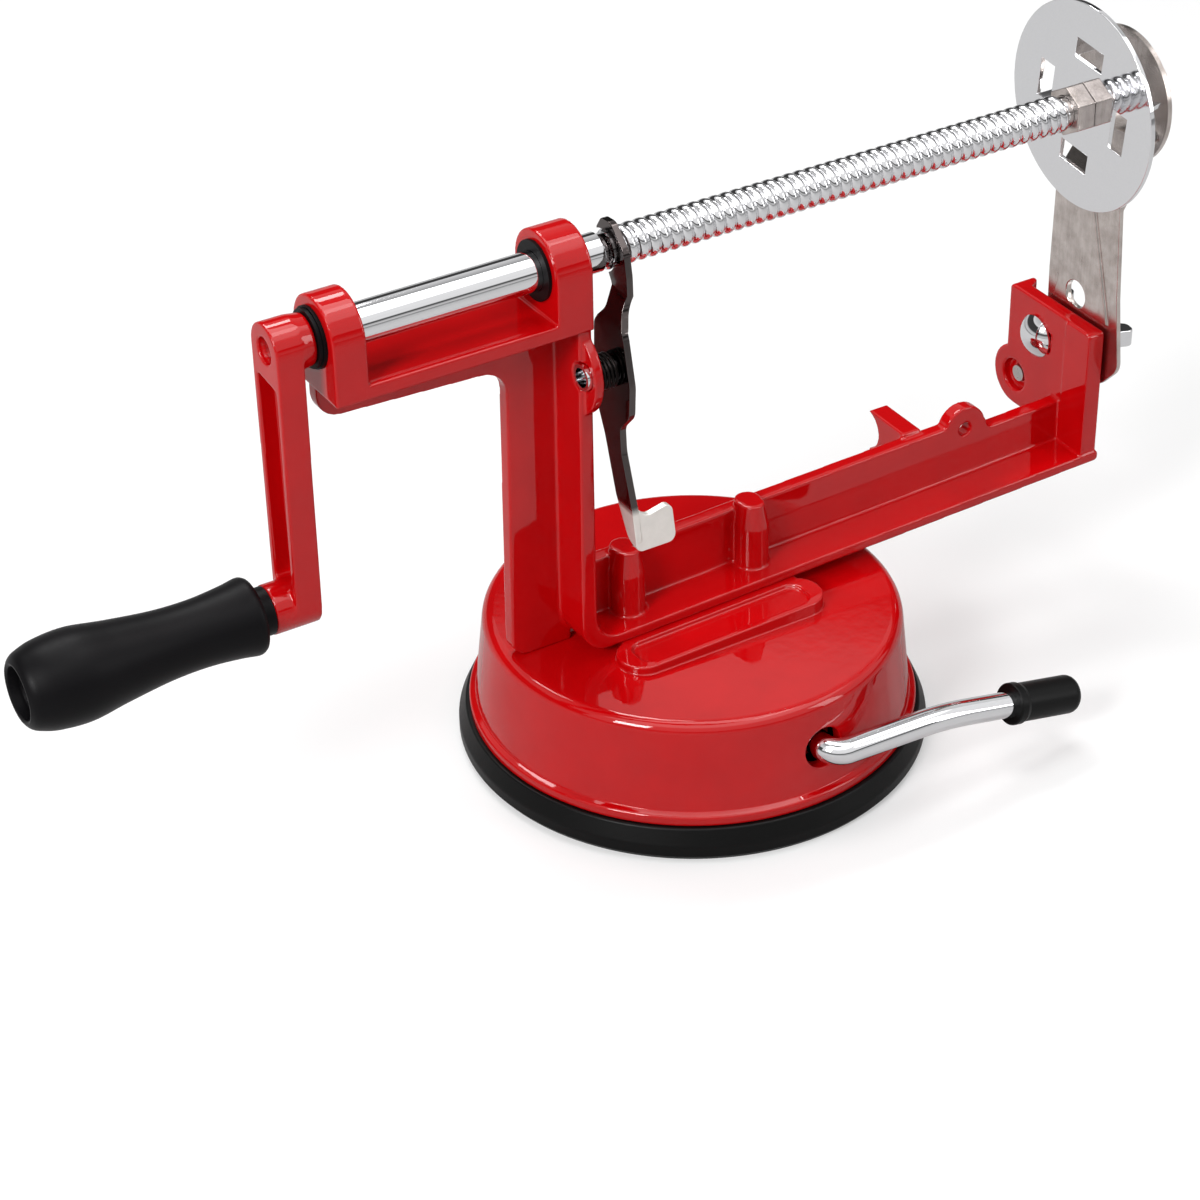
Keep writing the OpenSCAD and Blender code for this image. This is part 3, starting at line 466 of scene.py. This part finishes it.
def make_shaft():
    """The ground feed shaft: plain in the bearings, necked under the thread, peened over the disc."""
    low, high = box_mm("feed_shaft")
    thread_low, thread_high = box_mm("feed_thread")
    shoulder, neck = low.x + 8, thread_low.x - 0.06
    disc, peen = high.x - 2.6, high.x - 1.4
    profile = [(low.x, PINHOLE), (low.x, SPIGOT_R - 0.3), (low.x + 0.3, SPIGOT_R),
               (shoulder, SPIGOT_R), (shoulder, SHAFT_R - 0.2), (shoulder + 0.2, SHAFT_R),
               (neck - 0.4, SHAFT_R), (neck, SHAFT_R - 0.4), (neck, ROOT_R),
               (disc, ROOT_R), (disc, SPIGOT_R), (peen, SPIGOT_R),
               (peen, PEEN_R), (high.x - 0.5, PEEN_R - 0.5), (high.x, SPIGOT_R), (high.x, PINHOLE)]
    turned("feed_bar", "feed_shaft", axis_in(thread_low, thread_high), profile)


# The thread: its lead, half the width of its ridge, and the angle at which it starts
LEAD = 2.8
RIDGE_HALF = 1.36
THREAD_START = 153.57 + 360 * 0.31 / LEAD
# One side of the ridge, from its crest to its foot inside the bar: distance from the middle and radius
RIDGE_SIDE = ((0.2, 4.54), (0.6, 4.44), (0.95, 4.22), (1.2, 3.95), (RIDGE_HALF, 3.72), (RIDGE_HALF, 3.5))


def make_thread():
    """The rolled screw thread: full round ridges with a narrow groove between them."""
    low, high = box_mm("feed_thread")
    profile = [(-along, r) for along, r in reversed(RIDGE_SIDE)] + list(RIDGE_SIDE)
    wound("thread_ridge", "feed_thread", axis_in(low, high), low.x + RIDGE_HALF, high.x - RIDGE_HALF,
          LEAD, THREAD_START, profile, 40)


# The suction lever's rod: radius, radius in the clip's groove, radius of its elbow, length from the elbow
# to the knee, length of the knee's curve, and length from the knee to the tip
ROD_R, ROD_GROOVE_R = 3.15, 2.65
ROD_ELBOW_R, ROD_LONG, ROD_EASE, ROD_TIP = 4.3, 30.8, 7, 36.4
# Its shaft's x and z, its outer run's y, and how far that run drops before and after the knee
ROD_SHAFT = (3.1, 21.1)
ROD_OUT_Y = -54.3
ROD_DROPS = (math.radians(2), math.radians(12))
# Places along the shaft: plain end, groove for the clip, then on towards the elbow
ROD_SHAFT_RUN = ((22.4, ROD_R), (21.45, ROD_R), (21.4, ROD_GROOVE_R), (20.4, ROD_GROOVE_R), (20.35, ROD_R),
                 (10, ROD_R), (0, ROD_R), (-20, ROD_R), (-35, ROD_R), (-45, ROD_R))


def make_rod():
    """The bent rod of the suction lever, swept in one line from its shaft to its sleeve."""
    out, on = (Vector((math.cos(drop), 0, -math.sin(drop))) for drop in ROD_DROPS)
    shaft = Vector((ROD_SHAFT[0], 0, ROD_SHAFT[1]))
    path = [shaft + Vector((0, y, 0)) for y, _ in ROD_SHAFT_RUN]
    radii = [r for _, r in ROD_SHAFT_RUN]
    start = shaft + Vector((0, ROD_OUT_Y, 0))
    for i in range(13):
        a = math.radians(90 * i / 12)
        path.append(start + Vector((0, ROD_ELBOW_R * (1 - math.sin(a)), 0))
                    + out * ROD_ELBOW_R * (1 - math.cos(a)))
    path += [start + out * x for x in (10, 16, 20)]
    knee = start + out * ROD_LONG
    path += [knee - out * ROD_EASE * (1 - t / 8) ** 2 + on * ROD_EASE * (t / 8) ** 2 for t in range(9)]
    path += [knee + on * x for x in (12, 20, 28, ROD_TIP)]
    radii += [ROD_R] * (len(path) - len(radii))
    swept_tube("lever_rod", "suction_lever", path, radii)


# The crank grip's outline: share of its length from the inner end, and radius
GRIP_OUTLINE = ((0, 8.3), (0.025, 8.8), (0.1, 8.2), (0.24, 7.6), (0.4, 7.85), (0.59, 9.1),
                (0.75, 10.4), (0.88, 10.0), (0.955, 8.9), (0.985, 8.0), (1, 6.9))
# Its bore and the recess in its free end: radius and depth
GRIP_BORE_R = 3.05
GRIP_RECESS_R, GRIP_RECESS_DEEP = 6.0, 5


def make_grip():
    """The moulded crank grip: a waisted barrel with a rounded rim round its end recess."""
    low, high = box_mm("handle_grip")
    long = high.x - low.x
    profile = [(high.x, GRIP_BORE_R), (high.x, 3.6), (high.x, 8.0)]
    profile += [(high.x - long * share, r) for share, r in smooth_line(GRIP_OUTLINE, 8)]
    profile += [(low.x + 0.03, GRIP_RECESS_R + 0.5), (low.x + 0.35, GRIP_RECESS_R + 0.08),
                (low.x + 0.9, GRIP_RECESS_R), (low.x + GRIP_RECESS_DEEP - 0.1, GRIP_RECESS_R),
                (low.x + GRIP_RECESS_DEEP, GRIP_RECESS_R - 0.1), (low.x + GRIP_RECESS_DEEP, GRIP_BORE_R)]
    turned("crank_grip", "handle_grip", axis_in(low, high), profile)


# The torsion spring: radius of its wire, of its coil, and how many turns it has
WIRE_R = 0.35
COIL_R = 3.1 + 0.3 + WIRE_R
COIL_TURNS = 3.5


def make_spring():
    """The fine torsion spring round the lever's pin."""
    low, high = box_mm("lever_spring")
    start, stop = low.x + WIRE_R, high.x - WIRE_R
    profile = [(WIRE_R * c, COIL_R + WIRE_R * s) for c, s in circle(12)]
    # The coil takes the near-black spring finish, which is painted shade
    wound("pin_spring", "lever_spring", axis_in(low, high), start, stop, (stop - start) / COIL_TURNS, 90,
          profile, 36, "spring")


# ---- Settings ----

def colour_setting(name, description, hex_colour):
    """A colour the panel shows, from an sRGB hex colour."""
    return bpy.props.FloatVectorProperty(name=name, description=description, subtype="COLOR", size=3,
                                         min=0, max=1, default=linear(hex_colour)[:3])


def length_setting(name, description, millimetres):
    """A length the panel shows, from millimetres."""
    return bpy.props.FloatProperty(name=name, description=description, unit="LENGTH", min=0,
                                   default=millimetres * MM, precision=5)


class PeelerColours(bpy.types.PropertyGroup):
    """Colours of the finishes"""
    coat: colour_setting("Powder coat", "Main colour of the castings", "#c4050a")
    coat_deep: colour_setting("Deep coat", "Colour where the coat is thickest", "#b20307")
    chrome: colour_setting("Chrome", "Tint of the plated steel", "#e6e6e8")
    zinc: colour_setting("Zinc plate", "Tint of the stampings", "#c9c7c4")
    # The lever plate tint is painted reflection: dark to stand for the frame mirrored in the arm
    lever: colour_setting("Lever plate", "Tint of the release lever's dark arm", "#5c5554")
    bare: colour_setting("Bare steel", "Light tone of the rolled strip", "#cfc6c1")
    bare_deep: colour_setting("Bare steel, dark", "Dark tone of the rolled strip", "#8f857f")
    plastic: colour_setting("Moulded plastic", "Colour of grip and bushes", "#0e0d0f")
    rubber: colour_setting("Rubber", "Colour of the suction cup and sleeve", "#060606")


class PeelerSizes(bpy.types.PropertyGroup):
    """Sizes that the dressed pieces add to the CAD frame"""
    casting_edge: length_setting("Casting edge", "Edge radius of the coated castings", 0.65)
    casting_skin: length_setting("Casting skin", "Spacing of the points on the castings' skin", 0.3)
    stamping_edge: length_setting("Stamping edge", "Edge radius of stamped strip", 0.15)
    floor: length_setting("Floor", "Side of the floor", 6000)


# ---- Operators ----

class PEELER_OT_castings(bpy.types.Operator):
    """Makes the coated castings: frame, base and crank"""
    bl_idname = "peeler.castings"
    bl_label = "Castings"

    def execute(self, context):
        edge = context.scene.peeler_sizes.casting_edge
        skin = context.scene.peeler_sizes.casting_skin
        rounds = max(1, round((edge / skin / 0.8) ** 2))
        cast_copy("frame_casting", "frame_body", skin, rounds)
        rounded_copy("base_casting", "base_body", edge * 0.7)
        cast_copy("crank_arm", "crank_body", skin, rounds)
        return {"FINISHED"}


class PEELER_OT_chromework(bpy.types.Operator):
    """Makes the chromed shaft, disc, bolt and rod, and the hex nut in bare steel"""
    bl_idname = "peeler.chromework"
    bl_label = "Chromed pieces"

    def execute(self, context):
        edge = context.scene.peeler_sizes.stamping_edge
        rounded_copy("pusher_disc", "disc_stamping", edge)
        # The hex nut takes the darker bare-steel finish in place of chrome: its darker grey is painted
        # reflection, standing for the dark surroundings its flat facets mirror
        rounded_copy("disc_nut", "hex_nut", edge * 2, finish="raw_steel")
        rounded_copy("wing_nut", "wing_nut_forging", edge * 2)
        dress("clamp_bolt", "lever_pin", "handle_spindle")
        make_shaft()
        make_thread()
        make_rod()
        return {"FINISHED"}


class PEELER_OT_stampings(bpy.types.Operator):
    """Makes the release lever, the screws and other small parts, and the spring"""
    bl_idname = "peeler.stampings"
    bl_label = "Plated pieces"

    def execute(self, context):
        rounded_copy("release_lever", "lever_stamping", context.scene.peeler_sizes.stamping_edge,
                     finish="lever")
        dress("cup_plunger", "lever_cam", "retaining_clip", "frame_screws",
              "crank_pin", "anchor_pin", "clamp_washer")
        make_spring()
        return {"FINISHED"}


class PEELER_OT_blade(bpy.types.Operator):
    """Makes the slicing blade, its ring and its holder"""
    bl_idname = "peeler.blade"
    bl_label = "Blade"

    def execute(self, context):
        rounded_copy("blade_holder", "holder_stamping", context.scene.peeler_sizes.stamping_edge * 2)
        dress("slicing_blade", "coring_ring")
        return {"FINISHED"}


class PEELER_OT_mouldings(bpy.types.Operator):
    """Makes the plastic grip, bushes and washer"""
    bl_idname = "peeler.mouldings"
    bl_label = "Plastic pieces"

    def execute(self, context):
        dress("left_bush", "right_bush", "thrust_washer", "handle_collar")
        make_grip()
        return {"FINISHED"}


class PEELER_OT_rubber(bpy.types.Operator):
    """Makes the rubber cup and the lever's sleeve"""
    bl_idname = "peeler.rubber"
    bl_label = "Rubber pieces"

    def execute(self, context):
        dress("suction_cup", "lever_grip")
        return {"FINISHED"}


# ---- Stage ----

# Place in millimetres, then yaw, pitch and roll in degrees
CAMERA_PLACE = (-341.1, -531.0, 458.7)
CAMERA_TURN = (30.74, 33.92, -1.10)
LENS = 96.51

# Height on the sky, from horizon to overhead, and how bright polished faces see it there
FRONT_SKY = ((0.002, 0.7), (0.1, 0.5), (0.16, 0.1), (0.24, 0.1), (0.3, 0.95), (0.72, 1.0), (0.78, 2.4),
             (0.955, 2.6), (0.965, 0.02), (0.998, 0.02))
BACK_SKY = ((0.002, 0.7), (0.12, 0.6), (0.19, 0.06), (0.555, 0.05), (0.575, 0.85), (0.8, 0.6),
            (0.93, 0.3), (0.94, 0.02), (0.998, 0.02))
# How bright the sky is for everything that isn't polished
SOFT_LEVEL = 0.32
# The floor's own light, as polished faces see it and as the camera does
FLOOR_GLOW = (0.03, 0.38)
# The floor's grey as it lights the pieces, and as it is seen
FLOOR_GREYS = ("#b4b4b4", "#c6c6c6")
# Name, place in millimetres, width and height in millimetres, power in watts
LAMPS = (
    ("key", (-900, -420, 700), (330, 330), 9),
    ("overhead", (100, 100, 1100), (800, 500), 4.5),
    ("fill", (700, -800, 500), (250, 600), 2),
    ("rim", (60, 650, 1000), (600, 220), 4.5),
)


class PEELER_OT_stage(bpy.types.Operator):
    """Makes the floor, the lamps, the world and the camera"""
    bl_idname = "peeler.stage"
    bl_label = "Stage"

    def execute(self, context):
        scene = context.scene
        make_floor(scene)
        make_world(scene)
        make_lamps(scene)
        make_camera(scene)
        scene.view_settings.view_transform = "Standard"
        return {"FINISHED"}


def make_floor(scene):
    """A plain pale floor. The camera and polished faces see it brighter than it lights the pieces."""
    half = scene.peeler_sizes.floor / 2
    mesh = bpy.data.meshes.new("floor")
    corners = [(-half, -half, 0), (half, -half, 0), (half, half, 0), (-half, half, 0)]
    mesh.from_pydata(corners, [], [(0, 1, 2, 3)])
    floor = bpy.data.objects.new("floor", mesh)
    scene.collection.objects.link(floor)
    made, tree, _ = new_material("white_paper_sweep")
    path = add(tree, "ShaderNodeLightPath").outputs
    seen = add(tree, "ShaderNodeMath", {"operation": "MAXIMUM"}, i0=path["Is Camera Ray"],
               i1=path["Is Glossy Ray"]).outputs[0]
    bounce, paper = (add(tree, "ShaderNodeBsdfDiffuse", Color=linear(level)).outputs[0]
                     for level in FLOOR_GREYS)
    glow = add(tree, "ShaderNodeEmission", Color=grey(1),
               Strength=span(tree, path["Is Camera Ray"], *FLOOR_GLOW)).outputs[0]
    bright = add(tree, "ShaderNodeAddShader", i0=glow, i1=paper).outputs[0]
    add(tree, "ShaderNodeOutputMaterial",
        Surface=add(tree, "ShaderNodeMixShader", i0=seen, i1=bounce, i2=bright).outputs[0])
    mesh.materials.append(made)


def sky_ramp(tree, height, levels):
    """Grey levels from the horizon to overhead."""
    ramp = add(tree, "ShaderNodeValToRGB", Fac=height)
    stops = ramp.color_ramp.elements
    for place, level in levels:
        stops.new(place).color = grey(level)
    stops.remove(stops[0])
    stops.remove(stops[-1])
    return ramp.outputs["Color"]


def make_world(scene):
    """White behind everything. Polished faces see a studio of pale screens with dark gaps instead."""
    world = bpy.data.worlds.new("soft studio")
    scene.world = world
    world.use_nodes = True
    tree = world.node_tree
    tree.nodes.clear()
    toward = add(tree, "ShaderNodeTexCoord").outputs["Generated"]
    way = add(tree, "ShaderNodeSeparateXYZ", Vector=toward)
    front, back = (sky_ramp(tree, way.outputs["Z"], stops) for stops in (FRONT_SKY, BACK_SKY))
    half = span(tree, way.outputs["Y"], 0, 1, -0.01, 0.01)
    sky = mixed(tree, half, front, back)
    path = add(tree, "ShaderNodeLightPath").outputs
    soft = mixed(tree, path["Is Glossy Ray"], grey(SOFT_LEVEL), sky)
    seen = mixed(tree, path["Is Camera Ray"], soft, grey(1))
    light = add(tree, "ShaderNodeBackground", Color=seen, Strength=1.0)
    add(tree, "ShaderNodeOutputWorld", Surface=light.outputs[0])


def make_lamps(scene):
    """Soft area lamps, all turned to the middle of the tool."""
    middle = Vector((0, 0, 70)) * MM
    for name, place, size, power in LAMPS:
        data = bpy.data.lights.new(name, "AREA")
        data.shape = "RECTANGLE"
        data.size, data.size_y = size[0] * MM, size[1] * MM
        data.energy = power
        lamp = bpy.data.objects.new(name, data)
        lamp.location = Vector(place) * MM
        aim = middle - lamp.location
        lamp.rotation_mode = "QUATERNION"
        lamp.rotation_quaternion = aim.to_track_quat("-Z", "Y")
        scene.collection.objects.link(lamp)


def make_camera(scene):
    """A long lens, looking down at the tool from the crank's side."""
    yaw, pitch, roll = (math.radians(a) for a in CAMERA_TURN)
    ahead = Vector((math.sin(yaw) * math.cos(pitch), math.cos(yaw) * math.cos(pitch), -math.sin(pitch)))
    right = Vector((math.cos(yaw), -math.sin(yaw), 0))
    up = right.cross(ahead)
    right, up = (math.cos(roll) * right + math.sin(roll) * up,
                 math.cos(roll) * up - math.sin(roll) * right)
    data = bpy.data.cameras.new("camera")
    data.lens = LENS
    data.sensor_width = 36
    data.clip_start, data.clip_end = 0.05, 20
    camera = bpy.data.objects.new("camera", data)
    camera.matrix_world = Matrix.Translation(Vector(CAMERA_PLACE) * MM) @ Matrix(
        (right, up, -ahead)).transposed().to_4x4()
    scene.collection.objects.link(camera)
    bpy.context.scene.camera = camera


OPERATORS = (PEELER_OT_castings, PEELER_OT_chromework, PEELER_OT_stampings, PEELER_OT_blade,
             PEELER_OT_mouldings, PEELER_OT_rubber, PEELER_OT_stage)


class PEELER_PT_sidebar(bpy.types.Panel):
    """Lists the pieces and their settings"""
    bl_label = "Apple peeler corer"
    bl_idname = "PEELER_PT_sidebar"
    bl_space_type = "VIEW_3D"
    bl_region_type = "UI"
    bl_category = "Peeler"

    def draw(self, context):
        for operator in OPERATORS:
            self.layout.operator(operator.bl_idname)
        for group in (context.scene.peeler_colours, context.scene.peeler_sizes):
            for name in group.__annotations__:
                self.layout.prop(group, name)


CLASSES = (PeelerColours, PeelerSizes, *OPERATORS, PEELER_PT_sidebar)


def register():
    for each in CLASSES:
        bpy.utils.register_class(each)
    bpy.types.Scene.peeler_colours = bpy.props.PointerProperty(type=PeelerColours)
    bpy.types.Scene.peeler_sizes = bpy.props.PointerProperty(type=PeelerSizes)


def unregister():
    del bpy.types.Scene.peeler_sizes
    del bpy.types.Scene.peeler_colours
    for each in reversed(CLASSES):
        bpy.utils.unregister_class(each)


def main():
    register()
    bpy.ops.peeler.castings()
    bpy.ops.peeler.chromework()
    bpy.ops.peeler.stampings()
    bpy.ops.peeler.blade()
    bpy.ops.peeler.mouldings()
    bpy.ops.peeler.rubber()
    bpy.ops.peeler.stage()


if __name__ == "__main__":
    main()
